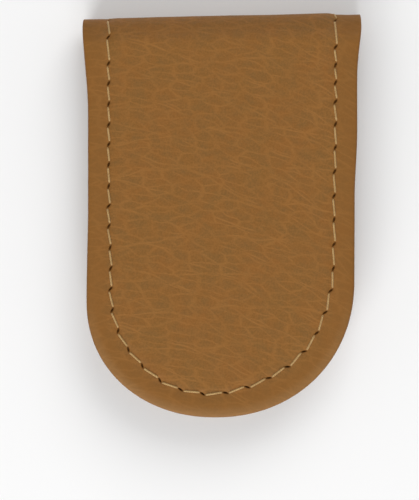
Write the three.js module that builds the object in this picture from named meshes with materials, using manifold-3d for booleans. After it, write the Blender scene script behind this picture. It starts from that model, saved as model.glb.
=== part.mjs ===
// A folded leather magnetic money clip. A long strip of leather with two rounded ends is folded over at +Y
// into a back leaf, which lies on z = 0, and a front leaf above it. A thinner lining strip is sewn inside
// the fold, and each leaf holds a board with two disc magnets between the leathers. Lengths are in
// millimetres, and angles in degrees. The origin is under the middle of the closed clip.
import * as THREE from "three";
import { mergeVertices } from "three/addons/utils/BufferGeometryUtils.js";
import Module from "manifold-3d";

// Closed size, and the outline of a leaf seen from above.
const LENGTH = 70.5; // outside of the fold to the tip
const THICKNESS = 10.6; // over both leaves
const FOLD_HALF_WIDTH = 24.2;
const WAIST_HALF_WIDTH = 23.45;
const SHOULDER_HALF_WIDTH = 23.6;
const WAIST_Y = 2;
const TIP_X = -1; // the hand-trimmed end is a little off centre
const RIGHT_END_LENGTH = 24.7; // tip to shoulder
const LEFT_END_LENGTH = 20.4;

// Layers of a leaf, from the outside inwards, with a glue line between neighbours.
const OUTER_THICK = 1.0;
const SHIELD_THICK = 0.2;
const BOARD_THICK = 1.0;
const LINING_THICK = 0.8;
const GLUE_LINE = 0.05;

// The fold, cut into rigid staves that turn on each other.
const STAVES = ["lower", "middle", "upper"];
const STAVE_ANGLE = 45;
const STAVE_CLEARANCE = 0.8;

// The seam.
const SEAM_INSET = 3.65; // leather edge to the middle of the seam
const SEAM_TIP_INSET = 4.1;
const THREAD_WIDTH = 0.6;
const THREAD_THICK = 0.25;
const GROOVE_WIDTH = 1.0;
const GROOVE_DEPTH = 0.35;

// The magnets and their board.
const BOARD_INSET = 6.2; // leather edge to the board's edge
const BOARD_TOP_Y = 24;
const BOARD_CORNER = 4;
const SHIELD_INSET = BOARD_INSET + 0.6;
const MAGNET_RADIUS = 6;
const MAGNET_CHAMFER = 0.15;
const MAGNET_X = 7.5;
const MAGNET_Y = -17;
const POCKET_CLEARANCE = 0.15;

// How finely curves are faceted: a quarter ellipse and a stave take twice their number of steps.
const OUTLINE_STEPS = 6;
const FOLD_STEPS = 3;
const MAGNET_STEPS = 20;

const FOLD_RADIUS = THICKNESS / 2;
const FOLD_Y = LENGTH / 2 - FOLD_RADIUS; // the line where the leaves end and the fold begins
const TIP_Y = -LENGTH / 2;
const LIP_END = -1.5 * STAVE_ANGLE; // each leaf carries the first part of the fold, from -90 to here

// Depths under the outer face of a leaf.
const LINING_TOP = OUTER_THICK + GLUE_LINE; // the shield plate lies at this depth too
const LINING_FACE = LINING_TOP + LINING_THICK;
const BOARD_TOP = LINING_TOP + SHIELD_THICK + GLUE_LINE;
const POCKET_FLOOR = BOARD_TOP + BOARD_THICK + GLUE_LINE;
const SLOT_FACE = POCKET_FLOOR + LINING_THICK; // the lining's face where it covers the board
const NEEDLE_TOP = (GROOVE_DEPTH - THREAD_THICK) / 2;
const BOBBIN_TOP = LINING_FACE - NEEDLE_TOP - THREAD_THICK;

const MATERIALS = {
  outerLeather: new THREE.MeshStandardMaterial({ color: 0x8b6033, roughness: 0.62, metalness: 0 }),
  liningLeather: new THREE.MeshStandardMaterial({ color: 0x7d5429, roughness: 0.75, metalness: 0 }),
  thread: new THREE.MeshStandardMaterial({ color: 0xd9c296, roughness: 0.7, metalness: 0 }),
  board: new THREE.MeshStandardMaterial({ color: 0x6f6a60, roughness: 0.85, metalness: 0 }),
  shield: new THREE.MeshStandardMaterial({ color: 0x9a9c9e, roughness: 0.35, metalness: 1 }),
  magnet: new THREE.MeshStandardMaterial({ color: 0xc4c6c8, roughness: 0.2, metalness: 1 }),
};

// Takes a section drawn in Y and Z, and extruded along its own Z, to where it runs along X.
const SECTION_TO_PART = new THREE.Matrix4().makeBasis(
  new THREE.Vector3(0, 1, 0),
  new THREE.Vector3(0, 0, 1),
  new THREE.Vector3(1, 0, 0),
);
const OVERSHOOT = 1; // how far a cutting shape runs past what it cuts

const wasm = await Module();
wasm.setup();

function solidOf(geometry) {
  geometry.deleteAttribute("normal");
  geometry.deleteAttribute("uv");
  const merged = mergeVertices(geometry);
  return new wasm.Manifold(
    new wasm.Mesh({
      numProp: 3,
      vertProperties: merged.attributes.position.array,
      triVerts: new Uint32Array(merged.index.array),
    }),
  );
}

function geometryOf(solid) {
  const mesh = solid.getMesh();
  const geometry = new THREE.BufferGeometry();
  geometry.setAttribute("position", new THREE.BufferAttribute(mesh.vertProperties, 3));
  geometry.setIndex(new THREE.BufferAttribute(mesh.triVerts, 1));
  geometry.computeVertexNormals();
  return geometry;
}

function named(name, solid, material) {
  const mesh = new THREE.Mesh(geometryOf(solid), MATERIALS[material].clone());
  mesh.name = name;
  return mesh;
}

// ---- Outlines in plan ----

// Carries a path from the right waist round the rounded end to the left waist.
function addRoundEnd(path, inset, tipInset) {
  const waist = WAIST_HALF_WIDTH - inset;
  const shoulder = SHOULDER_HALF_WIDTH - inset;
  const rightY = TIP_Y + RIGHT_END_LENGTH;
  const leftY = TIP_Y + LEFT_END_LENGTH;
  path.quadraticCurveTo(waist, (WAIST_Y + rightY) / 2, shoulder, rightY);
  path.absellipse(TIP_X, rightY, shoulder - TIP_X, RIGHT_END_LENGTH - tipInset, 0, -Math.PI / 2, true);
  path.absellipse(TIP_X, leftY, shoulder + TIP_X, LEFT_END_LENGTH - tipInset, -Math.PI / 2, -Math.PI, true);
  path.quadraticCurveTo(-waist, (WAIST_Y + leftY) / 2, -waist, WAIST_Y);
}

// The points along a leaf's edge, or along a line set in from it, from the right of the fold to its left.
function edgeLine(inset, tipInset = inset) {
  const fold = FOLD_HALF_WIDTH - inset;
  const waist = WAIST_HALF_WIDTH - inset;
  const bendY = (FOLD_Y + WAIST_Y) / 2;
  const path = new THREE.Path();
  path.moveTo(fold, LENGTH / 2);
  path.lineTo(fold, FOLD_Y);
  path.quadraticCurveTo(waist, bendY, waist, WAIST_Y);
  addRoundEnd(path, inset, tipInset);
  path.quadraticCurveTo(-waist, bendY, -fold, FOLD_Y);
  path.lineTo(-fold, LENGTH / 2);
  return path.getPoints(OUTLINE_STEPS);
}

// A band that follows the seam round a leaf, open at the fold.
function seamBand(width) {
  const outside = edgeLine(SEAM_INSET - width / 2, SEAM_TIP_INSET - width / 2);
  const inside = edgeLine(SEAM_INSET + width / 2, SEAM_TIP_INSET + width / 2);
  return new THREE.Shape([...outside, ...inside.reverse()]);
}

// The board's outline: straight across the top with round corners, and along the leather's edge elsewhere.
function boardShape(inset) {
  const waist = WAIST_HALF_WIDTH - inset;
  const corner = waist - BOARD_CORNER;
  const cornerY = BOARD_TOP_Y - BOARD_CORNER;
  const shape = new THREE.Shape();
  shape.moveTo(waist, cornerY);
  shape.lineTo(waist, WAIST_Y);
  addRoundEnd(shape, inset, inset);
  shape.lineTo(-waist, cornerY);
  shape.absarc(-corner, cornerY, BOARD_CORNER, Math.PI, Math.PI / 2, true);
  shape.absarc(corner, cornerY, BOARD_CORNER, Math.PI / 2, 0, true);
  return shape;
}

// ---- Solids ----

function extruded(shape, depth, curveSegments) {
  return new THREE.ExtrudeGeometry(shape, { depth, bevelEnabled: false, curveSegments });
}

function plate(shape, from, to) {
  return solidOf(extruded(shape, to - from, OUTLINE_STEPS).translate(0, 0, from));
}

function alongX(section, fromX, toX) {
  const across = extruded(section, toX - fromX, FOLD_STEPS).translate(0, 0, fromX);
  return solidOf(across.applyMatrix4(SECTION_TO_PART));
}

// A layer of a leaf between two depths: flat from the tip to the fold, then curling up to the angle `lipEnd`.
function leafLayer(fromDepth, toDepth, lipEnd) {
  const start = -Math.PI / 2;
  const end = THREE.MathUtils.degToRad(lipEnd);
  const section = new THREE.Shape();
  section.moveTo(TIP_Y - OVERSHOOT, fromDepth);
  section.lineTo(FOLD_Y, fromDepth);
  section.absarc(FOLD_Y, FOLD_RADIUS, FOLD_RADIUS - fromDepth, start, end, false);
  section.absarc(FOLD_Y, FOLD_RADIUS, FOLD_RADIUS - toDepth, end, start, true);
  section.lineTo(TIP_Y - OVERSHOOT, toDepth);
  return alongX(section, -LENGTH / 2, LENGTH / 2);
}

// A layer of the fold between two depths and two angles round its middle.
function foldLayer(fromDepth, toDepth, fromAngle, toAngle, fromX, toX) {
  const start = THREE.MathUtils.degToRad(fromAngle);
  const end = THREE.MathUtils.degToRad(toAngle);
  const section = new THREE.Shape();
  section.absarc(FOLD_Y, FOLD_RADIUS, FOLD_RADIUS - fromDepth, start, end, false);
  section.absarc(FOLD_Y, FOLD_RADIUS, FOLD_RADIUS - toDepth, end, start, true);
  return alongX(section, fromX, toX);
}

// ---- The leaves ----

const LEAF_EDGE = new THREE.Shape(edgeLine(0));
const LIP = LIP_END - STAVE_CLEARANCE / 2;
const CUT_LIP = LIP_END + STAVE_ANGLE / 2;

// The part of a leaf's layer that lies inside an outline in plan.
function cutOut(shape, fromDepth, toDepth, lipEnd) {
  return leafLayer(fromDepth, toDepth, lipEnd).intersect(plate(shape, -THICKNESS, THICKNESS));
}

function groove(fromDepth, toDepth) {
  return cutOut(seamBand(GROOVE_WIDTH), fromDepth, toDepth, CUT_LIP);
}

function thread(top) {
  return cutOut(seamBand(THREAD_WIDTH), top, top + THREAD_THICK, LIP);
}

function outerLeather() {
  return cutOut(LEAF_EDGE, 0, OUTER_THICK, LIP).subtract(groove(-OVERSHOOT, GROOVE_DEPTH));
}

// The lining lies on the outer leather round its rim, and rises over the board in a shallow pan.
function liningLeather() {
  const wall = LINING_THICK / 2;
  const pan = new THREE.ExtrudeGeometry(boardShape(BOARD_INSET - POCKET_CLEARANCE - wall), {
    depth: SLOT_FACE - LINING_TOP - LINING_THICK,
    bevelThickness: wall,
    bevelSize: wall,
    bevelSegments: 1,
    curveSegments: OUTLINE_STEPS,
  });
  const pocket = plate(boardShape(BOARD_INSET - POCKET_CLEARANCE), 0, POCKET_FLOOR);
  return cutOut(LEAF_EDGE, LINING_TOP, LINING_FACE, LIP)
    .subtract(groove(LINING_FACE - GROOVE_DEPTH, LINING_FACE + OVERSHOOT))
    .add(solidOf(pan.translate(0, 0, LINING_TOP + wall)))
    .subtract(pocket);
}

function shieldPlate() {
  return plate(boardShape(SHIELD_INSET), LINING_TOP, LINING_TOP + SHIELD_THICK);
}

function magnetBoard() {
  const shape = boardShape(BOARD_INSET);
  const radius = MAGNET_RADIUS + POCKET_CLEARANCE;
  for (const side of [-1, 1]) {
    const rim = new THREE.EllipseCurve(side * MAGNET_X, MAGNET_Y, radius, radius);
    shape.holes.push(new THREE.Path(rim.getPoints(MAGNET_STEPS)));
  }
  return plate(shape, BOARD_TOP, BOARD_TOP + BOARD_THICK);
}

function magnet(side) {
  const inner = MAGNET_RADIUS - MAGNET_CHAMFER;
  const profile = [
    new THREE.Vector2(0, 0),
    new THREE.Vector2(inner, 0),
    new THREE.Vector2(MAGNET_RADIUS, MAGNET_CHAMFER),
    new THREE.Vector2(MAGNET_RADIUS, BOARD_THICK - MAGNET_CHAMFER),
    new THREE.Vector2(inner, BOARD_THICK),
    new THREE.Vector2(0, BOARD_THICK),
  ];
  const disc = new THREE.LatheGeometry(profile, MAGNET_STEPS).rotateX(Math.PI / 2);
  return solidOf(disc.translate(side * MAGNET_X, MAGNET_Y, BOARD_TOP));
}

// One leaf as it lies on z = 0. The front leaf is the same leaf turned over.
function leaf(place) {
  const group = new THREE.Group();
  group.add(
    named(`outer_leather_${place}`, outerLeather(), "outerLeather"),
    named(`lining_leather_${place}`, liningLeather(), "liningLeather"),
    named(`magnet_board_${place}`, magnetBoard(), "board"),
    named(`shield_plate_${place}`, shieldPlate(), "shield"),
    named(`magnet_${place}_left`, magnet(-1), "magnet"),
    named(`magnet_${place}_right`, magnet(1), "magnet"),
    named(`needle_thread_${place}`, thread(NEEDLE_TOP), "thread"),
    named(`bobbin_thread_${place}`, thread(BOBBIN_TOP), "thread"),
  );
  return group;
}

// ---- The fold ----

const SEAM_X = FOLD_HALF_WIDTH - SEAM_INSET;

// A strip of one leather across the fold, with a groove for the seam at either side.
function foldLeather(depths, grooveDepths, from, to) {
  const strip = foldLayer(...depths, from, to, -FOLD_HALF_WIDTH, FOLD_HALF_WIDTH);
  return [-SEAM_X, SEAM_X].reduce((solid, x) => {
    const [left, right] = [x - GROOVE_WIDTH / 2, x + GROOVE_WIDTH / 2];
    return solid.subtract(foldLayer(...grooveDepths, from - OVERSHOOT, to + OVERSHOOT, left, right));
  }, strip);
}

function foldThread(top, from, to, x) {
  return foldLayer(top, top + THREAD_THICK, from, to, x - THREAD_WIDTH / 2, x + THREAD_WIDTH / 2);
}

// One stave of the fold: a strip of each leather, and a length of each thread at either side.
function stave(place, from, to) {
  const group = new THREE.Group();
  const outer = foldLeather([0, OUTER_THICK], [-OVERSHOOT, GROOVE_DEPTH], from, to);
  const liningGroove = [LINING_FACE - GROOVE_DEPTH, LINING_FACE + OVERSHOOT];
  const lining = foldLeather([LINING_TOP, LINING_FACE], liningGroove, from, to);
  group.add(
    named(`outer_leather_fold_${place}`, outer, "outerLeather"),
    named(`lining_leather_fold_${place}`, lining, "liningLeather"),
  );
  for (const [side, x] of [["left", -SEAM_X], ["right", SEAM_X]]) {
    group.add(
      named(`needle_thread_fold_${place}_${side}`, foldThread(NEEDLE_TOP, from, to, x), "thread"),
      named(`bobbin_thread_fold_${place}_${side}`, foldThread(BOBBIN_TOP, from, to, x), "thread"),
    );
  }
  return group;
}

// ---- The whole clip ----

const clip = new THREE.Group();
const frontLeaf = leaf("front");
frontLeaf.scale.z = -1;
frontLeaf.position.z = THICKNESS;
clip.add(leaf("back"), frontLeaf);
STAVES.forEach((place, i) => {
  const from = LIP_END + i * STAVE_ANGLE;
  const gap = STAVE_CLEARANCE / 2;
  clip.add(stave(place, from + gap, from + STAVE_ANGLE - gap));
});

export default clip;
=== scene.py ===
# The looks of a folded leather magnetic money clip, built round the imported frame.
#
# The clip is one long strip of two leathers, sewn together all round and folded over at +Y. A point of the
# strip is given by three numbers in millimetres: x across it, q along it from the top of the fold (positive
# on the front leaf, negative on the back leaf), and its depth under the outer face. s is q without its sign.
# place() folds the strip up into the frame.
import math
import bpy
import numpy as np
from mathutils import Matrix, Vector
from mathutils.geometry import delaunay_2d_cdt


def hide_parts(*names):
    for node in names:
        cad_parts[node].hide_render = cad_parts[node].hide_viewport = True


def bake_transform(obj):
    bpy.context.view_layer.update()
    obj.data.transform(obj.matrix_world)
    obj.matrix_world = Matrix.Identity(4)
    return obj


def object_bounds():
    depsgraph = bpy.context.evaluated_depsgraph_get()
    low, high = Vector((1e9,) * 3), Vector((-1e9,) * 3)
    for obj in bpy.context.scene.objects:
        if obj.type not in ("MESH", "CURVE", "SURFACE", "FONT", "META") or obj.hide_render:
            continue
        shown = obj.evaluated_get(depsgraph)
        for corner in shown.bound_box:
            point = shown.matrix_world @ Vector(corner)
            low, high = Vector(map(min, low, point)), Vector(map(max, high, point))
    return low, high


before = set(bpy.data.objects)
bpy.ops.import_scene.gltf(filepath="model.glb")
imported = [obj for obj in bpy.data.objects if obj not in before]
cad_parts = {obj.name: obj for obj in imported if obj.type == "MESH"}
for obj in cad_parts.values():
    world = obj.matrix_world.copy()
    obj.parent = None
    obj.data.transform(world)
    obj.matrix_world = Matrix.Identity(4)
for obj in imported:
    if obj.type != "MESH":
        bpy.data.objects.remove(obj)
cad_low, cad_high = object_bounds()

MM = 0.001
NEAR = 1e-6  # places closer than this are one place
FAR = 9.0  # stands for any distance that is too far to matter

# ---- Sizes of the strip, in millimetres. Where the sides differ, 1 is the right side and -1 the left. ----

FOLD_RADIUS = (cad_high.z - cad_low.z) / MM / 2
FOLD_Y = cad_high.y / MM - FOLD_RADIUS  # where the flat leaves end and the fold begins
TIP_Y = cad_low.y / MM - 0.15  # the tip is a little fuller than the CAD's
QUARTER = math.pi / 2 * FOLD_RADIUS  # along the strip from the top of the fold to a leaf's flat part
CUT = QUARTER / 2  # where a leaf's piece ends and the fold's piece begins
TIP_S = QUARTER + FOLD_Y - TIP_Y

TIP_X = -1  # the rounded end's middle, a little to the left
END_AXES = {1: (24.45, 24.0), -1: (22.6, 20.4)}  # the half axes of the rounded end
END_POWER = 2.1  # a little fuller than an ellipse, whose power is 2
SHOULDER = {side: TIP_S - axes[1] for side, axes in END_AXES.items()}  # the s where the rounded end begins
WAIST = {1: 23.5, -1: 23.33}  # the half width where the strip is narrowest
WAIST_Y = 2
WIDEN = 0.45  # how much wider the right side is above the waist
FLARE = {1: (0.75, 24, 10), -1: (1.0, 18, 17)}  # how wide, from which y, and over what length
ASKEW_REACH = 18  # how far down the leaves the fold's askewness fades out

SEAM = 3.65  # leather edge to seam, at the sides
SEAM_AT_TIP = 4.1
SEAM_APART = 0.92  # the share of the flare that the seam doesn't follow
WIDEN_APART = 0.2  # how much of the right side's widening it doesn't follow
TIP_STRETCH = SEAM_AT_TIP / SEAM  # an inset line keeps further from the tip than from the sides

# depths under the outer face
OUTER_THICK = 1.0
LINING_TOP = 1.05
LINING_FACE = 1.85
POCKET_FLOOR = 2.35  # the lining's hidden side where it covers the board
SLOT_FACE = 3.15  # the lining's face there

BOARD_TOP_Y = 30.15  # the board's upper edge is placed by insets from here, as if the leather ended here
MAGNET_X, MAGNET_Y = 7.5, -17
MAGNET_RIM = 6.1  # the radius at which the magnets show through the lining
CREASE_PITCH = 1.9  # of the lining's creases inside the fold

THREAD_RADIUS = 0.175
THREAD_SIDES = 14
PLY_PITCH = 1.15  # along the thread, for one turn of its plies

NOISE_SIZE = 64  # noise() repeats after this many cells


def smooth(t):
    """A soft step: 0 up to t = 0, and 1 from t = 1."""
    t = np.clip(t, 0, 1)
    return t * t * (3 - 2 * t)


def noise(x, y, cell, seed):
    """Smooth seeded noise from -1 to 1, with features `cell` millimetres across."""
    table = np.random.default_rng(seed).uniform(-1, 1, (NOISE_SIZE, NOISE_SIZE))
    i, j = np.floor(x / cell).astype(int), np.floor(y / cell).astype(int)
    u, v = smooth(x / cell - i), smooth(y / cell - j)

    def on_line(i):
        """The noise at the cells' edge number i in x."""
        i = i % NOISE_SIZE
        return table[i, j % NOISE_SIZE] * (1 - v) + table[i, (j + 1) % NOISE_SIZE] * v
    return on_line(i) * (1 - u) + on_line(i + 1) * u


def leaf_y(s):
    """The y of a place on a flat leaf."""
    return FOLD_Y + QUARTER - s


def askew(x):
    """How much too far up the fold lies, because the strip was folded a little out of square. It climbs to
    the right, and drops again at its last corner."""
    return 0.32 + 0.0235 * x - 0.28 * smooth((x - 18.5) / 4.5)


def place(x, q, depth):
    """Folds points of the strip up into the frame, in millimetres."""
    turn = np.clip(q / FOLD_RADIUS, -math.pi / 2, math.pi / 2)
    radius = FOLD_RADIUS - depth
    y = FOLD_Y + radius * np.cos(turn) - np.maximum(np.abs(q) - QUARTER, 0)
    z = FOLD_RADIUS + radius * np.sin(turn)
    y = y + askew(x) * smooth((y - FOLD_Y + ASKEW_REACH) / ASKEW_REACH)
    return np.stack([x, y, z], -1)


# ---- The outline of the strip, in x and s ----

def flare(s, side):
    """How much the leather is squeezed out sideways near the fold."""
    width, start, length = FLARE[side]
    return width * smooth((leaf_y(s) - start) / length)


def above_waist(s):
    """0 at the waist of the right side, and 1 above it."""
    return smooth((leaf_y(s) - 3) / 12)


def half_width(s, side):
    """How far the leather's edge is from the middle on one side, up to the shoulder."""
    below_waist = smooth((WAIST_Y - leaf_y(s)) / (WAIST_Y - leaf_y(SHOULDER[side])))
    at_shoulder = END_AXES[side][0] + side * TIP_X
    widen = WIDEN * above_waist(s) if side > 0 else 0
    return WAIST[side] + widen + flare(s, side) + (at_shoulder - WAIST[side]) * below_waist


def seam_inset_at(x, s):
    """How far the seam is from the edge, as inset() measures it. The seam doesn't follow the squeezed-out
    edge, and it cuts the corners of the rounded end a little."""
    y = leaf_y(s)
    right_side = SEAM_APART * flare(s, 1) + WIDEN_APART * above_waist(s)
    upper = np.where(x > 0, right_side, SEAM_APART * flare(s, -1))
    right_corner = 0.82 * smooth((-7 - y) / 11) * smooth((x + 3) / 12)
    left_corner = (0.55 * smooth(-y / 9) + 0.45 * smooth((-12 - y) / 8)) * (1 - smooth((-24 - y) / 8))
    return SEAM + upper + np.maximum(right_corner, np.where(x > -4, 0, left_corner))


def inset(x, s):
    """How far a point is from the leather's edge."""
    right = x >= TIP_X
    straight = np.minimum(half_width(s, 1) - x, half_width(s, -1) + x)
    shoulder = np.where(right, SHOULDER[1], SHOULDER[-1])
    a = np.where(right, END_AXES[1][0], END_AXES[-1][0])
    b = np.where(right, END_AXES[1][1], END_AXES[-1][1])
    dx, ds = np.abs(x - TIP_X), np.maximum(s - shoulder, 0)
    # in the rounded end, the inset of the line through the point is found by halving a range
    low, high = np.full_like(x, -1.0), np.full_like(x, 12.0)
    for _ in range(24):
        middle = (low + high) / 2
        outside = (dx / (a - middle)) ** END_POWER + (ds / (b - middle * TIP_STRETCH)) ** END_POWER > 1
        low, high = np.where(outside, low, middle), np.where(outside, middle, high)
    return np.where(s <= shoulder, straight, low)


def rim_line(m, start, rows, steps):
    """The line at inset m from the right of the cut at s = start, round the tip, to the left of the cut."""
    points = []
    for side, (a, b) in END_AXES.items():
        to_shoulder = np.linspace(rows[-1], SHOULDER[side], steps[side] + 1)[1:]
        s = np.concatenate([rows[rows >= start - NEAR], to_shoulder])
        edge = np.stack([side * (half_width(s, side) - m), s], -1)
        t = np.linspace(0, math.pi / 2, steps["end"] + 1)[1:]
        across, down = np.abs(np.cos(t)) ** (2 / END_POWER), np.sin(t) ** (2 / END_POWER)
        end_x = TIP_X + side * (a - m) * across
        end_s = SHOULDER[side] + (b - m * TIP_STRETCH) * down
        points.append(np.concatenate([edge, np.stack([end_x, end_s], -1)]))
    right, left = points
    return np.concatenate([right, left[-2::-1]])


# ---- The seam ----

LEFT_HOLES = [1.8, 6.6, 11.4]  # along the seam from the top of the fold, where the pitch is long
RIGHT_HOLES = [9.35, 3.75]  # the same on the right, where the seam comes back to the fold
FRONT_PITCHES, BACK_PITCHES = 37, 45
PITCH_JITTER = (0.96, 1.04)
SLIT_LONG, SLIT_SHORT = 0.46, 0.155  # half of a slit's length and width
SLIT_REACH = 2.5  # slit_distance() looks no further than this
PULL, HOLE_PULL = 0.15, 0.1  # how deep the thread pulls the leather in, and how much deeper at a hole
VALLEY_WIDTH, DIMPLE_WIDTH = 0.75, 0.9


def seam_run():
    """The seam as a closed line in x and q: down the left of the front leaf, round its tip, up its right,
    over the fold and round the back leaf. Returns its points, the lengths along it, and the length at which
    the back leaf starts."""
    rows = np.linspace(0, SHOULDER[1] - 1, 900)
    line = rim_line(SEAM, 0, rows, {1: 60, -1: 80, "end": 400})
    inward = np.gradient(line, axis=0)[:, ::-1] * [-1, 1]
    inward /= np.linalg.norm(inward, axis=1, keepdims=True)
    for _ in range(5):
        line += inward * (seam_inset_at(*line.T) - inset(*line.T))[:, None]
    front = line[::-1]
    back = line[1:] * [1, -1]
    points = np.concatenate([front, back])
    along = np.concatenate([[0], np.cumsum(np.hypot(*np.diff(points, axis=0).T))])
    return points, along, along[len(front) - 1]


def stitch_stops():
    """Distances along the seam of the needle's holes. The pitch grows from the left side to the right, and
    the stitches crowd together where the machine slowed for the fold."""
    rng = np.random.default_rng(11)
    first, last = LEFT_HOLES[-1], SEAM_BACK - RIGHT_HOLES[0]
    u = (np.arange(FRONT_PITCHES) + 0.5) / FRONT_PITCHES
    pitch = 3.62 + 0.3 * smooth((u - 0.25) / 0.2) + 0.35 * smooth((u - 0.68) / 0.12)
    pitch = pitch - 1.25 * smooth((u - 0.86) / 0.09)
    pitch = pitch * rng.uniform(*PITCH_JITTER, len(u))
    front = first + np.cumsum(pitch) * (last - first) / pitch.sum()
    turn = SEAM_BACK - RIGHT_HOLES[1]
    pitch = rng.uniform(*PITCH_JITTER, BACK_PITCHES)
    back = turn + np.cumsum(pitch) * (SEAM_END + LEFT_HOLES[0] - SEAM_BACK + RIGHT_HOLES[1]) / pitch.sum()
    # the seam is closed, so its last hole is its first
    return np.concatenate([LEFT_HOLES, front, [turn], back[:-1]])


def seam_point(stop):
    """The point of the seam at a distance along it."""
    return np.stack([np.interp(stop, SEAM_ALONG, SEAM_POINTS[:, k]) for k in (0, 1)], -1)


def on_seam(stop):
    """The point of the seam at a distance along it, the way it runs there, and the way inwards."""
    ahead, behind = (seam_point((stop + reach) % SEAM_END) for reach in (0.4, -0.4))
    way = ahead - behind
    way /= np.linalg.norm(way, axis=-1, keepdims=True)
    return seam_point(stop), way, np.stack([way[:, 1], -way[:, 0]], -1)


SEAM_POINTS, SEAM_ALONG, SEAM_BACK = seam_run()
SEAM_END = SEAM_ALONG[-1]
HOLES, HOLE_WAY, HOLE_IN = on_seam(stitch_stops())
# the way each slit runs, aslant to the seam
SLIT_TURN = np.radians(np.random.default_rng(5).uniform(18, 40, len(HOLES)))[:, None]
SLITS = np.sin(SLIT_TURN) * HOLE_IN - np.cos(SLIT_TURN) * HOLE_WAY


def slit_distance(x, q):
    """How far a point is from the nearest slit: 1 on its rim, 0 at its middle."""
    best = np.full(x.shape, FAR)
    for (cx, cq), (ux, uq) in zip(HOLES, SLITS):
        near = (np.abs(x - cx) < SLIT_REACH) & (np.abs(q - cq) < SLIT_REACH)
        dx, dq = x[near] - cx, q[near] - cq
        along, across = (dx * ux + dq * uq) / SLIT_LONG, (dx * uq - dq * ux) / SLIT_SHORT
        best[near] = np.minimum(best[near], np.hypot(along, across))
    return best


def hole_distance(x, q):
    """How far a point is from the middle of the nearest hole."""
    best = np.full(x.shape, FAR)
    for cx, cq in HOLES:
        best = np.minimum(best, np.hypot(x - cx, q - cq))
    return best


# ---- The shapes of the faces: depths under the strip's outer face, at x and s on the leaf of that sign ----

def rounding(m, radius):
    """How far an edge rounded to a radius falls away, at an inset m."""
    return radius - np.sqrt(np.maximum(radius**2 - (radius - np.clip(m, 0, radius)) ** 2, 0))


def valley(x, q, past_seam):
    """How far the thread pulls the leather in along the seam: most at the holes, and less over the fold."""
    pull = PULL + HOLE_PULL * np.exp(-((hole_distance(x, q) / DIMPLE_WIDTH) ** 2))
    pull *= 0.5 + 0.5 * smooth(np.abs(q) / 4)
    return pull * np.exp(-((past_seam / VALLEY_WIDTH) ** 2))


def outer_face(x, s, sign):
    """The face that shows. Its rim is rounded and turned down a little, but less so over the fold, which
    stretches it."""
    q = sign * s
    m = inset(x, s)
    past_seam = m - seam_inset_at(x, s)
    off_fold = smooth((s - 2) / 8)
    rim_radius = 0.2 + 0.3 * off_fold
    droop = 0.3 * off_fold * np.clip(1 - m / 2.3, 0, 1) ** 2
    margin = 0.1 * smooth((0.3 - past_seam) / 1.1)
    slit = 0.42 * smooth(1.45 - slit_distance(x, q))
    swell = 0.045 * (1 + noise(x, q, 9.0, 3)) * smooth(m / 4)
    pebbles = 0.012 * (1 + noise(x, q, 2.3, 4))
    return rounding(m, rim_radius) + droop + margin + (valley(x, q, past_seam) + slit) + (swell + pebbles)


def outer_back(x, s, _):
    """The outer leather's hidden side."""
    return OUTER_THICK - rounding(inset(x, s), 0.1)


def over_board(m, s, start, end):
    """How far the lining has risen over the board, from 0 at the inset `start` to 1 at the inset `end`."""
    return smooth((m - start) / (end - start)) * smooth((BOARD_TOP_Y - start - leaf_y(s)) / (end - start))


def lining_face(x, s, sign):
    """The lining's face in the slot, formed up over the board, with the magnets' rims just showing."""
    q = sign * s
    m = inset(x, s)
    past_seam = m - seam_inset_at(x, s)
    margin = 0.05 * smooth(-past_seam / 1.1)
    slit = 0.36 * smooth(1.4 - slit_distance(x, q))
    depth = LINING_FACE - rounding(m, 0.25) - margin - (0.75 * valley(x, q, past_seam) + slit)
    depth += (SLOT_FACE - LINING_FACE) * over_board(m, s, 4.9, 6.0)
    for side in (-1, 1):
        away = np.hypot(x - side * MAGNET_X, leaf_y(s) - MAGNET_Y)
        depth += 0.03 * np.exp(-(((away - MAGNET_RIM) / 0.5) ** 2))
    # creases where the lining is squeezed inside the fold
    squeeze = smooth((QUARTER + 3 - s) / 4) * smooth(m / 3)
    wave = np.sin(2 * math.pi * (q + 0.5 * noise(x, q, 5.0, 8)) / CREASE_PITCH + 1.5 * noise(x, q, 9.0, 9))
    creases = 0.06 * squeeze * (1 + wave)
    swell = 0.03 * (1 + noise(x, q, 7.0, 5)) * smooth(m / 4)
    return depth - creases - swell


def lining_back(x, s, _):
    """The lining's hidden side, which lies close against the outer leather, or on the board."""
    m = inset(x, s)
    return LINING_TOP + rounding(m, 0.1) + (POCKET_FLOOR - LINING_TOP) * over_board(m, s, 5.45, 6.0)


# ---- Where the points of a piece lie, in x and s ----

ROW_STEP = 0.3
FOLD_ROWS = np.linspace(0, QUARTER, 41)  # rows of points round the fold, with one of them at the cut
LEAF_ROWS = np.concatenate([FOLD_ROWS, np.arange(QUARTER + ROW_STEP, SHOULDER[1] - 0.1, ROW_STEP)])
LEAF_STEPS = {1: 1, -1: round((SHOULDER[-1] - SHOULDER[1]) / ROW_STEP), "end": 120}

# the insets of the lines of points along the rim, which lie close together at the rim and at the seam
RIM_INSETS = [0.03, 0.09, 0.18, 0.29, 0.4, 0.6, 0.85, 1.15, 1.5, 1.85, 2.15, 2.4, 2.62, 2.82, 3.0, 3.17,
              3.33, 3.49, 3.65, 3.81, 3.97, 4.13, 4.3, 4.5, 4.75, 5.05, 5.35, 5.65, 6.0]
FIELD_INSET, FIELD_STEP = 6.25, 0.45  # the grid inside those lines
FIELD_X = np.arange(-18, 18.1, 0.5)
COARSE_INSET, COARSE_STEP = 6.3, 1.4  # the grid of a hidden side
COARSE_X = np.arange(-17.5, 17.6, COARSE_STEP)
COARSE_FOLD_STEP = 0.4  # between its rows where it bends
SLIT_RINGS = ((0, 1), (0.45, 8), (0.8, 14), (1.1, 18), (1.45, 20))  # each ring's size and number of points
SLIT_CLEAR = 1.85  # other points keep this far from a slit, as slit_distance() measures it
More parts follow.
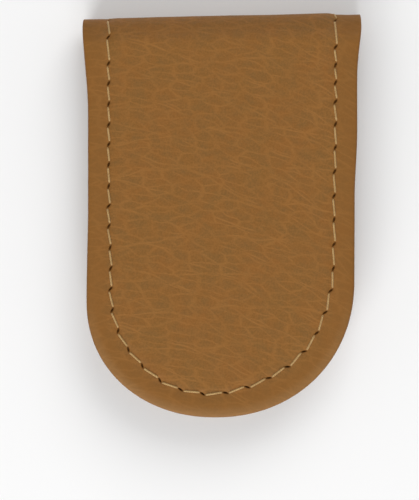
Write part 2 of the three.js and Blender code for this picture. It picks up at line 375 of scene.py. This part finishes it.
CUT_CLEAR = 0.05  # the rings keep this far from a cut


def row(x, s):
    """Points across the strip, at one s."""
    return np.stack([x, np.full_like(x, s)], -1)


def side_rows(m, rows, side):
    """The points at inset m of each row, on one side."""
    return np.stack([side * (half_width(rows, side) - m), rows], -1)


def cut_row(s):
    """The points of a cut across the strip, from left to right, which both pieces at the cut share."""
    fine = np.array([0] + RIM_INSETS)
    return row(np.concatenate([fine - half_width(s, -1), FIELD_X, (half_width(s, 1) - fine)[::-1]]), s)


def field(x, rows, clear):
    """A grid of points, further from the edge than `clear`."""
    grid = np.stack(np.meshgrid(x, rows), -1).reshape(-1, 2)
    return grid[inset(grid[:, 0], grid[:, 1]) > clear]


def slit_rings(low, high, sign):
    """Rings of points round the slits, between s = low and s = high."""
    rings = []
    for (cx, cq), (ux, uq) in zip(HOLES, SLITS):
        cs, us = cq * sign, uq * sign
        if not low - 1 < cs < high + 1:
            continue
        for scale, count in SLIT_RINGS:
            t = np.arange(count) * 2 * math.pi / count
            along, across = scale * SLIT_LONG * np.cos(t), scale * (SLIT_SHORT + 0.03 * scale) * np.sin(t)
            rings.append(np.stack([cx + along * ux + across * us, cs + along * us - across * ux], -1))
    rings = np.concatenate(rings)
    return rings[(rings[:, 1] > low) & (rings[:, 1] < high)]


def fine_points(start, end, sign):
    """The loop round a piece from s = start to s = end, or to the tip if end is None, and the points of its
    fine side."""
    if end is None:
        loop = np.concatenate([cut_row(start)[1:-1], rim_line(0, start, LEAF_ROWS, LEAF_STEPS)])
        inside = [rim_line(m, start, LEAF_ROWS, LEAF_STEPS)[1:-1] for m in RIM_INSETS]
        bent_rows = LEAF_ROWS[(LEAF_ROWS > start + NEAR) & (LEAF_ROWS < QUARTER + FIELD_STEP)]
        field_rows = np.concatenate([bent_rows, np.arange(QUARTER + 2 * FIELD_STEP, TIP_S, FIELD_STEP)])
    else:
        rows = FOLD_ROWS[(FOLD_ROWS > start + NEAR) & (FOLD_ROWS < end - NEAR)]
        left, right = (side_rows(0, rows, side) for side in (-1, 1))
        loop = np.concatenate([cut_row(start), right, cut_row(end)[::-1], left[::-1]])
        inside = [side_rows(m, rows, side) for m in RIM_INSETS for side in (-1, 1)]
        field_rows = rows
    points = np.concatenate(inside + [field(FIELD_X, field_rows, FIELD_INSET)])
    points = points[slit_distance(points[:, 0], points[:, 1] * sign) > SLIT_CLEAR]
    rings = slit_rings(start + CUT_CLEAR, end - CUT_CLEAR if end is not None else math.inf, sign)
    return loop, np.concatenate([points, rings])


def coarse_points(start, end):
    """The points of a piece's hidden side: a few lines near the edge, and a wide grid."""
    if end is None:
        rows, steps = LEAF_ROWS[::5], {1: 1, -1: 5, "end": 30}
        lines = [rim_line(0.12, start, LEAF_ROWS, LEAF_STEPS)[1:-1]]
        lines += [rim_line(m, start + 0.2, rows, steps) for m in (1.2, 3.0, 4.6, 5.45, 5.65, 5.85, 6.1)]
        flat_from = QUARTER + 5
        bent_rows = np.arange(start + COARSE_FOLD_STEP, flat_from, COARSE_FOLD_STEP)
        field_rows = np.concatenate([bent_rows, np.arange(flat_from, TIP_S, COARSE_STEP)])
    else:
        field_rows = np.arange(start + COARSE_FOLD_STEP, end - COARSE_FOLD_STEP / 2, COARSE_FOLD_STEP)
        lines = [side_rows(m, field_rows, side) for m in (0.12, 1.2, 3.0) for side in (-1, 1)]
    return np.concatenate(lines + [field(COARSE_X, field_rows, COARSE_INSET)])


# ---- Meshes ----

def triangles(points, count):
    """Triangulates the points inside the loop made by the first `count` of them."""
    inside_only = 1
    made = delaunay_2d_cdt(points.tolist(), [], [list(range(count))], inside_only, NEAR, True)
    index = [ids[0] for ids in made[3]]
    # a few triangles are made outside the loop too, and `within` is empty for those
    tris = np.array([[index[v] for v in face] for face, within in zip(made[2], made[5]) if within])
    a, b, c = (points[tris[:, k]] for k in range(3))
    turned = (b[:, 0] - a[:, 0]) * (c[:, 1] - a[:, 1]) < (b[:, 1] - a[:, 1]) * (c[:, 0] - a[:, 0])
    tris[turned] = tris[turned][:, ::-1]
    return tris


def mesh_object(name, coords, faces, flat, extra, material, hard=None):
    """A smooth-shaded mesh object. `flat` and `extra` are kept on its vertices for the materials. An edge is
    sharp if `hard` says the same number, above 0, for both its ends."""
    mesh = bpy.data.meshes.new(name)
    mesh.from_pydata(coords * MM, [], faces)
    where = mesh.attributes.new("flat", "FLOAT_VECTOR", "POINT")
    where.data.foreach_set("vector", flat.astype(np.float32).ravel())
    for key, values in extra.items():
        mesh.attributes.new(key, "FLOAT", "POINT").data.foreach_set("value", values.astype(np.float32))
    mesh.shade_smooth()
    if hard is not None:
        ends = np.zeros(len(mesh.edges) * 2, int)
        mesh.edges.foreach_get("vertices", ends)
        ends = ends.reshape(-1, 2)
        sharp = (hard[ends[:, 0]] > 0) & (hard[ends[:, 0]] == hard[ends[:, 1]])
        mesh.attributes.new("sharp_edge", "BOOLEAN", "EDGE").data.foreach_set("value", sharp)
    mesh.materials.append(material)
    obj = bpy.data.objects.new(name, mesh)
    bpy.context.scene.collection.objects.link(obj)
    return obj


WALL_SWELL = 0.07  # how far a cut wall swells out, as a share of its height


def wall_rings(loop, top, bottom, on_cut):
    """Rings of points down the wall between the two faces, which swells a little, except at a cut, and their
    depths."""
    outward = np.roll(loop, -1, 0) - np.roll(loop, 1, 0)
    outward = np.stack([outward[:, 1], -outward[:, 0]], -1) / np.linalg.norm(outward, axis=1)[:, None]
    outward[on_cut] = 0
    height = bottom - top
    shares = (0.25, 0.5, 0.75)  # of the way down
    swell = outward * WALL_SWELL * height[:, None]
    rings = [loop + swell * math.sin(math.pi * share) for share in shares]
    return rings, [top + height * share for share in shares]


def sheet(name, start, end, sign, near, far, fine_is_near, material):
    """One closed piece of a leather, between the face `near` and the face `far`, which lies deeper."""
    loop, fine = fine_points(start, end, sign)
    coarse = coarse_points(start, end)
    count = len(loop)
    inner = (fine, coarse) if fine_is_near else (coarse, fine)
    layers = [np.concatenate([loop, points]) for points in inner]
    tris = [triangles(points, count) for points in layers]
    depths = [face(points[:, 0], points[:, 1], sign) for face, points in zip((near, far), layers)]
    cuts = [start] if end is None else [start, end]
    on_cut = np.min([np.abs(loop[:, 1] - cut) for cut in cuts], axis=0) < NEAR
    rings, ring_depths = wall_rings(loop, depths[0][:count], depths[1][:count], on_cut)
    plan, depth = np.concatenate(layers + rings), np.concatenate(depths + ring_depths)
    x, s = plan.T
    q = s * sign

    second = len(layers[0])
    first_ring = second + len(layers[1])
    ring_starts = [0] + [first_ring + k * count for k in range(len(rings))] + [second]
    here, after = np.arange(count), (np.arange(count) + 1) % count
    faces = [tris[0][:, ::-1], tris[1] + second]
    for upper, lower in zip(ring_starts, ring_starts[1:]):
        faces.append(np.stack([upper + here, upper + after, lower + after, lower + here], -1))
    if sign < 0:
        faces = [group[:, ::-1] for group in faces]

    wall = (np.arange(len(plan)) >= first_ring).astype(float)
    # where the slits are, which the leather's material darkens with painted shade
    slit = smooth((1.4 - slit_distance(x, q)) / 0.6)
    extra = {"inset": np.maximum(inset(x, s), 0), "slit": slit, "wall": wall}
    # the edges along a cut stay sharp, so that the pieces on both sides shade alike
    hard = np.zeros(len(plan), int)
    for number, at in ((1, 0), (2, second)):
        hard[at:at + count][on_cut] = number
    flat = np.stack([x, q, depth], -1)
    all_faces = [face for group in faces for face in group.tolist()]
    return mesh_object(name, place(x, q, depth), all_faces, flat, extra, material, hard)


def tube(path, radius_of, sides):
    """Points and faces of a tube along a path in x, q and depth, closed at its ends. radius_of(turn, along)
    is its radius at each angle round it and each length along it."""
    way = np.gradient(path, axis=0)
    way /= np.linalg.norm(way, axis=1)[:, None]
    across = np.cross(way, np.array([0.0, 0.0, 1.0]))
    across /= np.linalg.norm(across, axis=1)[:, None]
    lift = np.cross(across, way)
    along = np.concatenate([[0], np.cumsum(np.linalg.norm(np.diff(path, axis=0), axis=1))])
    turn = np.arange(sides) * 2 * math.pi / sides
    radius = radius_of(turn[None], along[:, None])[..., None]
    spokes = across[:, None] * np.cos(turn)[None, :, None] + lift[:, None] * np.sin(turn)[None, :, None]
    points = path[:, None] + radius * spokes
    index = np.arange(len(path) * sides).reshape(len(path), sides)
    step = np.roll(index, -1, 1)
    faces = np.stack([index[:-1], step[:-1], step[1:], index[1:]], -1).reshape(-1, 4).tolist()
    first, last = index.size, index.size + 1
    faces += [[first, b, a] for a, b in zip(index[0], step[0])]
    faces += [[last, a, b] for a, b in zip(index[-1], step[-1])]
    return np.concatenate([points.reshape(-1, 3), path[[0, -1]]]), faces


def ply(turn, along):
    """The lobed section of a thread laid up of three plies."""
    return THREAD_RADIUS * (0.8 + 0.26 * np.abs(np.cos(1.5 * (turn - 2 * math.pi * along / PLY_PITCH))))


def stitch(k, inside):
    """The path of one stitch in x, q and depth, from hole k to the next. The bobbin's stitches, on the
    inside, are straighter."""
    after = (k + 1) % len(HOLES)
    slant = 0.15 if inside else 0.42
    start, end = HOLES[k] - slant * SLITS[k], HOLES[after] + slant * SLITS[after]
    length = np.linalg.norm(end - start)
    # the points lie closer together near the holes
    near_first, near_next = np.linspace(0, 0.14, 11), np.linspace(0.86, 1, 11)
    v = np.concatenate([near_first, np.linspace(0.14, 0.86, 20)[1:-1], near_next])
    away = np.minimum(v, 1 - v) * length
    spot = start + (end - start) * v[:, None]
    # the ends turn in towards the middles of the holes
    toward = np.where((v < 0.5)[:, None], HOLES[k], HOLES[after])
    spot = spot + (toward - spot) * (0.3 * np.exp(-away / 0.08))[:, None]
    # each stitch leaves its first hole low, and stands proudest just before it goes down the next
    rise = 0.24 - 0.07 * v + 0.08 * (1 - smooth(abs(spot[:, 1]) / 4))
    depth = rise + 0.65 * (1 - smooth(away / 0.5))
    if inside:
        depth = LINING_FACE - depth
    return np.column_stack([spot, depth])


def stitches(name, first, last, inside, material):
    """The stitches whose middles lie between two values of q, as one piece."""
    coords, faces, flats = [], [], []
    total = 0
    for k in range(len(HOLES)):
        path = stitch(k, inside)
        if not first <= path[len(path) // 2, 1] < last:
            continue
        points, quads = tube(path, ply, THREAD_SIDES)
        coords.append(place(*points.T))
        flats.append(points)
        faces += [[v + total for v in f] for f in quads]
        total += len(points)
    return mesh_object(name, np.concatenate(coords), faces, np.concatenate(flats), {}, material)


# ---- Materials ----

class Nodes:
    """A short way to write a material's nodes. Each call makes a node, and returns its first output."""

    def __init__(self, name):
        self.material = bpy.data.materials.new(name)
        self.material.use_nodes = True
        self.tree = self.material.node_tree
        self.shader = self.tree.nodes["Principled BSDF"]

    def node(self, kind, inputs=(), **settings):
        made = self.tree.nodes.new("ShaderNode" + kind)
        for key, value in settings.items():
            setattr(made, key, value)
        for key, value in dict(inputs).items():
            self.put(made.inputs[key], value)
        return made

    def put(self, socket, value):
        if isinstance(value, bpy.types.NodeSocket):
            self.tree.links.new(value, socket)
        else:
            socket.default_value = value

    def math(self, operation, *values):
        return self.node("Math", enumerate(values), operation=operation).outputs[0]

    def attribute(self, name, output="Fac"):
        return self.node("Attribute", attribute_name=name).outputs[output]

    def ramp(self, value, low, high, to_low=0.0, to_high=1.0):
        """Maps low..high smoothly to to_low..to_high."""
        inputs = {"Value": value, "From Min": low, "From Max": high, "To Min": to_low, "To Max": to_high}
        return self.node("MapRange", inputs, interpolation_type="SMOOTHSTEP").outputs[0]

    def noise(self, vector, scale, detail=2.0, rough=0.5, output="Fac"):
        inputs = {"Vector": vector, "Scale": scale, "Detail": detail, "Roughness": rough}
        return self.node("TexNoise", inputs).outputs[output]

    def mix(self, share, a, b):
        """Mixes two colours. The numbers are the Mix node's colour sockets."""
        return self.node("Mix", {0: share, 6: a, 7: b}, data_type="RGBA").outputs[2]

    def vector(self, operation, a, b):
        key = "Scale" if operation == "SCALE" else 1
        return self.node("VectorMath", {0: a, key: b}, operation=operation).outputs[0]

    def turned(self, vector, angle):
        """Turns the x and q of a vector by an angle in radians."""
        inputs = {"Vector": vector, "Angle": -angle}
        return self.node("VectorRotate", inputs, rotation_type="Z_AXIS").outputs[0]

    def cells(self, vector):
        """How far a point is from the edge of its cell, in a pattern of cells one unit across."""
        inputs = {"Vector": vector, "Scale": 1.0, "Randomness": 0.85}
        settings = {"feature": "DISTANCE_TO_EDGE", "voronoi_dimensions": "2D"}
        return self.node("TexVoronoi", inputs, **settings).outputs["Distance"]

    def warped(self, vector, scale, amount):
        """Moves a vector about by noise."""
        push = self.vector("SUBTRACT", self.noise(vector, scale, 1.0, output="Color"), (0.5, 0.5, 0.5))
        return self.vector("ADD", vector, self.vector("SCALE", push, amount))

    def creases(self, vector, angle, pitch, width):
        """Long wavy lines that come and go: 1 on a line, 0 between the lines."""
        across = self.parts(self.turned(self.warped(vector, 0.11, 3.4), angle))[1]
        line = self.math("PINGPONG", self.math("DIVIDE", across, pitch), 0.5)
        line = self.ramp(line, 0.0, width / pitch, 1.0, 0.0)
        return self.math("MULTIPLY", line, self.ramp(self.noise(vector, 0.22, 1.0), 0.34, 0.52))

    def parts(self, vector):
        return self.node("SeparateXYZ", {0: vector}).outputs

    def bump(self, height, distance):
        return self.node("Bump", {"Height": height, "Distance": distance * MM}).outputs[0]

    def finish(self, **inputs):
        for key, value in inputs.items():
            self.put(self.shader.inputs[key.replace("_", " ")], value)
        return self.material


def colour(red, green, blue):
    """A colour given by its sRGB levels from 0 to 255, as the linear values that a shader takes."""
    def linear(v):
        v /= 255
        return v / 12.92 if v <= 0.04045 else ((v + 0.055) / 1.055) ** 2.4
    return (linear(red), linear(green), linear(blue), 1)


def tinted(base, factors):
    """A colour with its red, green and blue each multiplied by a factor."""
    return tuple(factor * level for factor, level in zip(factors, base)) + (1,)


# painted highlight: the pale sheen mixed into the rim of the rounded ends, for the gloss that light catches
# there
PAINTED_SHEEN = colour(162, 136, 98)
# painted shade: the deep brown that the slits are darkened to, for the shade inside them
SLIT_SHADE = colour(86, 50, 4)
HOLE_SHADE = colour(70, 42, 22)  # painted shade on the thread where it goes down a hole

RELIEF = 0.028  # how deep the outer leather's creases are
CELL_LONG, CELL_WIDE = 4.2, 1.55  # a pebble of the grain
CREASES = ((11, 5.0, 0.0), (-14, 6.0, 40.0))  # two families: degrees of slope, pitch, and shift of the noise
CREASE_WIDTH = 0.3
GRAIN_LEVEL_X = -23.0  # the grain runs level at the left edge, and turns downhill towards the right
GRAIN_FALL = 0.0048
ENDS_FROM, ENDS_TO = 50.0, 64.0  # where along the strip the painted sheen on the rim of the rounded ends fades in


def grain(n, flat):
    """The net of creases, 1 on a crease and 0 off it, and how far each point is inside its pebble."""
    x, q, _ = n.parts(flat)
    fall = n.math("POWER", n.math("MAXIMUM", n.math("SUBTRACT", x, GRAIN_LEVEL_X), 0.0), 2.0)
    q = n.math("SUBTRACT", q, n.math("MULTIPLY", fall, GRAIN_FALL))
    flow = n.node("CombineXYZ", {0: x, 1: q}).outputs[0]
    pebble = n.vector("MULTIPLY", n.warped(flow, 0.3, 1.6), (1 / CELL_LONG, 1 / CELL_WIDE, 1))
    cell = n.cells(pebble)
    net = n.ramp(cell, 0.0, 0.15, 0.75, 0.0)
    for angle, pitch, shift in CREASES:
        line = n.creases(n.vector("ADD", flow, (shift, 0, 0)), math.radians(angle), pitch, CREASE_WIDTH)
        net = n.math("MAXIMUM", net, line)
    return net, cell


def leather(name, base, crease, olive, margin, edge, relief):
    """Pebbled leather: a net of thin light creases round flat olive pebbles, pressed smooth beside the seam,
    with a painted pale sheen at the rim of the rounded ends, and raw on the cut walls."""
    n = Nodes(name)
    flat = n.attribute("flat", "Vector")
    far_in = n.attribute("inset")
    net, cell = grain(n, flat)
    fine = n.noise(flat, 3.2, 3.0, 0.65)

    # the creases fade in and out over the hide
    patches = n.ramp(n.noise(flat, 0.2, 2.0), 0.35, 0.65, 0.45, 1.0)
    pressed = n.ramp(far_in, 2.6, 4.6, 0.6, 1.0)
    net = n.math("MULTIPLY", n.math("MULTIPLY", net, patches), pressed)
    spots = n.math("MULTIPLY", n.ramp(cell, 0.12, 0.42), n.ramp(n.noise(flat, 0.5, 2.0), 0.4, 0.6))
    spots = n.math("MULTIPLY", spots, pressed)

    tone = n.ramp(n.noise(flat, 0.12, 3.0, 0.6), 0.3, 0.7)
    body = n.mix(tone, tinted(base, (0.94, 0.98, 1.0)), tinted(base, (1.06, 1.0, 0.97)))
    body = n.mix(n.ramp(n.noise(flat, 0.45, 2.0), 0.35, 0.65, 0.0, 0.35), body, olive)
    body = n.mix(n.ramp(fine, 0.3, 0.7, 0.0, 0.5), body, crease)
    body = n.mix(n.math("MULTIPLY", spots, 0.2), body, olive)
    body = n.mix(n.ramp(far_in, 2.6, 4.2, 0.6, 0.0), body, margin)
    body = n.mix(n.math("MULTIPLY", net, 0.62), body, crease)

    # painted sheen: the rim of the rounded ends is mixed towards a pale colour, for the gloss that light
    # catches there
    at_ends = n.ramp(n.math("ABSOLUTE", n.parts(flat)[1]), ENDS_FROM, ENDS_TO)
    sheen_share = n.math("MULTIPLY", at_ends, n.ramp(far_in, 0.5, 2.0, 0.14, 0.0))
    body = n.mix(sheen_share, body, PAINTED_SHEEN)
    body = n.mix(n.ramp(far_in, 0.0, 0.45, 0.15, 0.0), body, edge)
    fibres = n.noise(n.vector("MULTIPLY", flat, (1, 1, 6)), 2.5, 3.0, 0.6)
    body = n.mix(n.attribute("wall"), body, n.mix(n.ramp(fibres, 0.35, 0.7), edge, crease))
    # painted shade inside the needle slits
    body = n.mix(n.math("MULTIPLY", n.attribute("slit"), 0.9), body, SLIT_SHADE)

    height = n.math("ADD", n.math("MULTIPLY", net, -1.0), n.math("MULTIPLY", fine, 0.4))
    rough = n.ramp(n.noise(flat, 1.4, 3.0, 0.6), 0.3, 0.7, 0.56, 0.68)
    return n.finish(Base_Color=body, Roughness=rough, Normal=n.bump(height, relief), Specular_IOR_Level=0.2)


def thread(name, light, dark):
    """Spun thread with fine fibres, darker in patches, and with painted shade where it goes down a hole."""
    n = Nodes(name)
    flat = n.attribute("flat", "Vector")
    fibre = n.noise(flat, 7.0, 3.0, 0.65)
    patch = n.noise(flat, 0.8, 1.0)
    body = n.mix(n.ramp(fibre, 0.35, 0.7), dark, light)
    body = n.mix(n.ramp(patch, 0.35, 0.65, 0.0, 0.25), body, dark)
    # painted shade: the thread is darkened where it lies deep, going down a hole
    deep = n.parts(flat)[2]
    hole_shade_share = n.math("MULTIPLY", n.ramp(deep, 0.42, 0.75), n.ramp(deep, 1.1, 1.4, 1.0, 0.0))
    body = n.mix(n.math("MULTIPLY", hole_shade_share, 0.7), body, HOLE_SHADE)
    return n.finish(Base_Color=body, Roughness=n.ramp(fibre, 0.3, 0.7, 0.5, 0.7), Normal=n.bump(fibre, 0.03),
                    Sheen_Weight=0.25, Specular_IOR_Level=0.3)


def speckled(name, base, fleck, size, roughness, metallic, stretch=(1, 1, 1), depth=0.01):
    """A hard material with fine flecks or brush marks, placed by the object's own coordinates."""
    n = Nodes(name)
    where = n.vector("SCALE", n.node("TexCoord").outputs["Object"], 1 / MM)
    marks = n.noise(n.vector("MULTIPLY", where, stretch), 1 / size, 4.0, 0.65)
    broad = n.noise(where, 0.12, 2.0)
    body = n.mix(n.ramp(marks, 0.35, 0.68), base, fleck)
    body = n.mix(n.ramp(broad, 0.3, 0.7, 0.0, 0.3), body, base)
    rough = n.ramp(marks, 0.3, 0.7, roughness - 0.08, roughness + 0.08)
    return n.finish(Base_Color=body, Roughness=rough, Normal=n.bump(marks, depth), Metallic=metallic)


OUTER_LEATHER = leather("outer_leather", colour(127, 84, 34), colour(152, 103, 48), colour(110, 82, 42),
                        colour(129, 85, 34), colour(112, 74, 32), RELIEF)
LINING_LEATHER = leather("lining_leather", colour(120, 82, 38), colour(137, 94, 46), colour(106, 80, 46),
                         colour(120, 80, 36), colour(104, 68, 32), 0.7 * RELIEF)
THREAD = thread("thread", colour(202, 168, 110), colour(158, 122, 70))
BOARD = speckled("magnet_board", colour(112, 106, 94), colour(150, 143, 128), 0.5, 0.85, 0)
STEEL = speckled("shield_steel", colour(146, 148, 150), colour(178, 180, 182), 0.4, 0.35, 1,
                 stretch=(0.05, 1, 1), depth=0.004)
MAGNET = speckled("magnet_plating", colour(188, 188, 186), colour(208, 208, 206), 0.25, 0.2, 1, depth=0.002)


# ---- The clip ----

STAVE = 45  # degrees of the fold between two hinges

# name, from and to in s, sign of q, the two bodies, the hinge's angle, and the CAD nodes that it stands for
PARTS = (
    ("back", CUT, None, -1, ("back_leaf", "fold_lower"), -1.5 * STAVE, ("back", "fold_lower")),
    ("fold_back", 0, CUT, -1, ("fold_lower", "fold_middle"), -0.5 * STAVE, ("fold_lower", "fold_middle")),
    ("fold_front", 0, CUT, 1, ("fold_middle", "fold_upper"), 0.5 * STAVE, ("fold_middle", "fold_upper")),
    ("front", CUT, None, 1, ("fold_upper", "front_leaf"), 1.5 * STAVE, ("fold_upper", "front")),
)
BEYOND_TIP = 100  # an s past the end of the strip


for name, start, end, sign, bodies, angle, nodes in PARTS:
    span = sorted((sign * start, sign * (end if end is not None else BEYOND_TIP)))
    outer = sheet("outer_leather_piece_" + name, start, end, sign, outer_face, outer_back, True,
                  OUTER_LEATHER)
    lining = sheet("lining_leather_piece_" + name, start, end, sign, lining_back, lining_face, False,
                   LINING_LEATHER)
    needle = stitches("needle_stitches_" + name, *span, False, THREAD)
    bobbin = stitches("bobbin_stitches_" + name, *span, True, THREAD)
    for piece, slot, pattern in (
        (outer, "outer_leather", "outer_leather_{}"),
        (lining, "lining_leather", "lining_leather_{}"),
        (needle, "thread", "needle_thread_{}"),
        (bobbin, "thread", "bobbin_thread_{}"),
    ):
        for node in nodes:
            whole = pattern.format(node)
            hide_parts(*[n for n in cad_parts
                                 if n in (whole, whole + "_left", whole + "_right")])
        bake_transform(piece)

for node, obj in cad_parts.items():
    for family, material in (("magnet_board", BOARD), ("shield_plate", STEEL), ("magnet_", MAGNET)):
        if node.startswith(family):
            obj.data.materials.clear()
            obj.data.materials.append(material)
            break


# ---- The stage: floor, lights and camera ----

def paper(name, base, roughness):
    """Plain paper, a touch darker in patches."""
    n = Nodes(name)
    where = n.node("TexCoord").outputs["Object"]
    shade = n.ramp(n.noise(where, 6.0, 2.0), 0.3, 0.7)
    return n.finish(Base_Color=n.mix(shade, base, tinted(base, (0.99, 0.99, 0.99))), Roughness=roughness)


def softbox(name, spot, size, power):
    """A square light at a spot in metres, aimed at the middle of the floor."""
    data = bpy.data.lights.new(name, "AREA")
    data.size = size
    data.energy = power
    light = bpy.data.objects.new(name, data)
    bpy.context.scene.collection.objects.link(light)
    light.location = spot
    light.rotation_mode = "QUATERNION"
    light.rotation_quaternion = (-Vector(spot)).to_track_quat("-Z", "Y")


FLOOR_GAP = 0.02  # millimetres between the clip and the floor

bpy.ops.mesh.primitive_plane_add(size=3, location=(0, 0, -FLOOR_GAP * MM))
floor = bpy.context.object
floor.name = "floor"
floor.data.materials.append(paper("floor_paper", (0.9, 0.9, 0.9, 1), 0.9))

world = bpy.data.worlds.new("studio")
world.use_nodes = True
world.node_tree.nodes["Background"].inputs["Color"].default_value = (1, 1, 1, 1)
world.node_tree.nodes["Background"].inputs["Strength"].default_value = 0.38
bpy.context.scene.world = world

softbox("key", (-0.17, -0.75, 0.46), 0.75, 7.9)
softbox("fill", (0.2, 0.55, 0.6), 0.6, 3.0)

CAMERA_X, CAMERA_Y, CAMERA_HEIGHT = -2.0, -6.0, 455.3  # in millimetres, looking straight down
VIEW_HEIGHT = 88.66  # millimetres of the clip's middle plane that the picture takes in from top to bottom
SENSOR = 36
camera_data = bpy.data.cameras.new("camera")
camera = bpy.data.objects.new("camera", camera_data)
bpy.context.scene.collection.objects.link(camera)
camera.location = (CAMERA_X * MM, CAMERA_Y * MM, CAMERA_HEIGHT * MM)
camera_data.sensor_width = SENSOR
camera_data.lens = SENSOR / VIEW_HEIGHT * (CAMERA_HEIGHT - FOLD_RADIUS)
camera_data.clip_start = 0.01
bpy.context.scene.camera = camera
bpy.context.scene.view_settings.view_transform = "Standard"
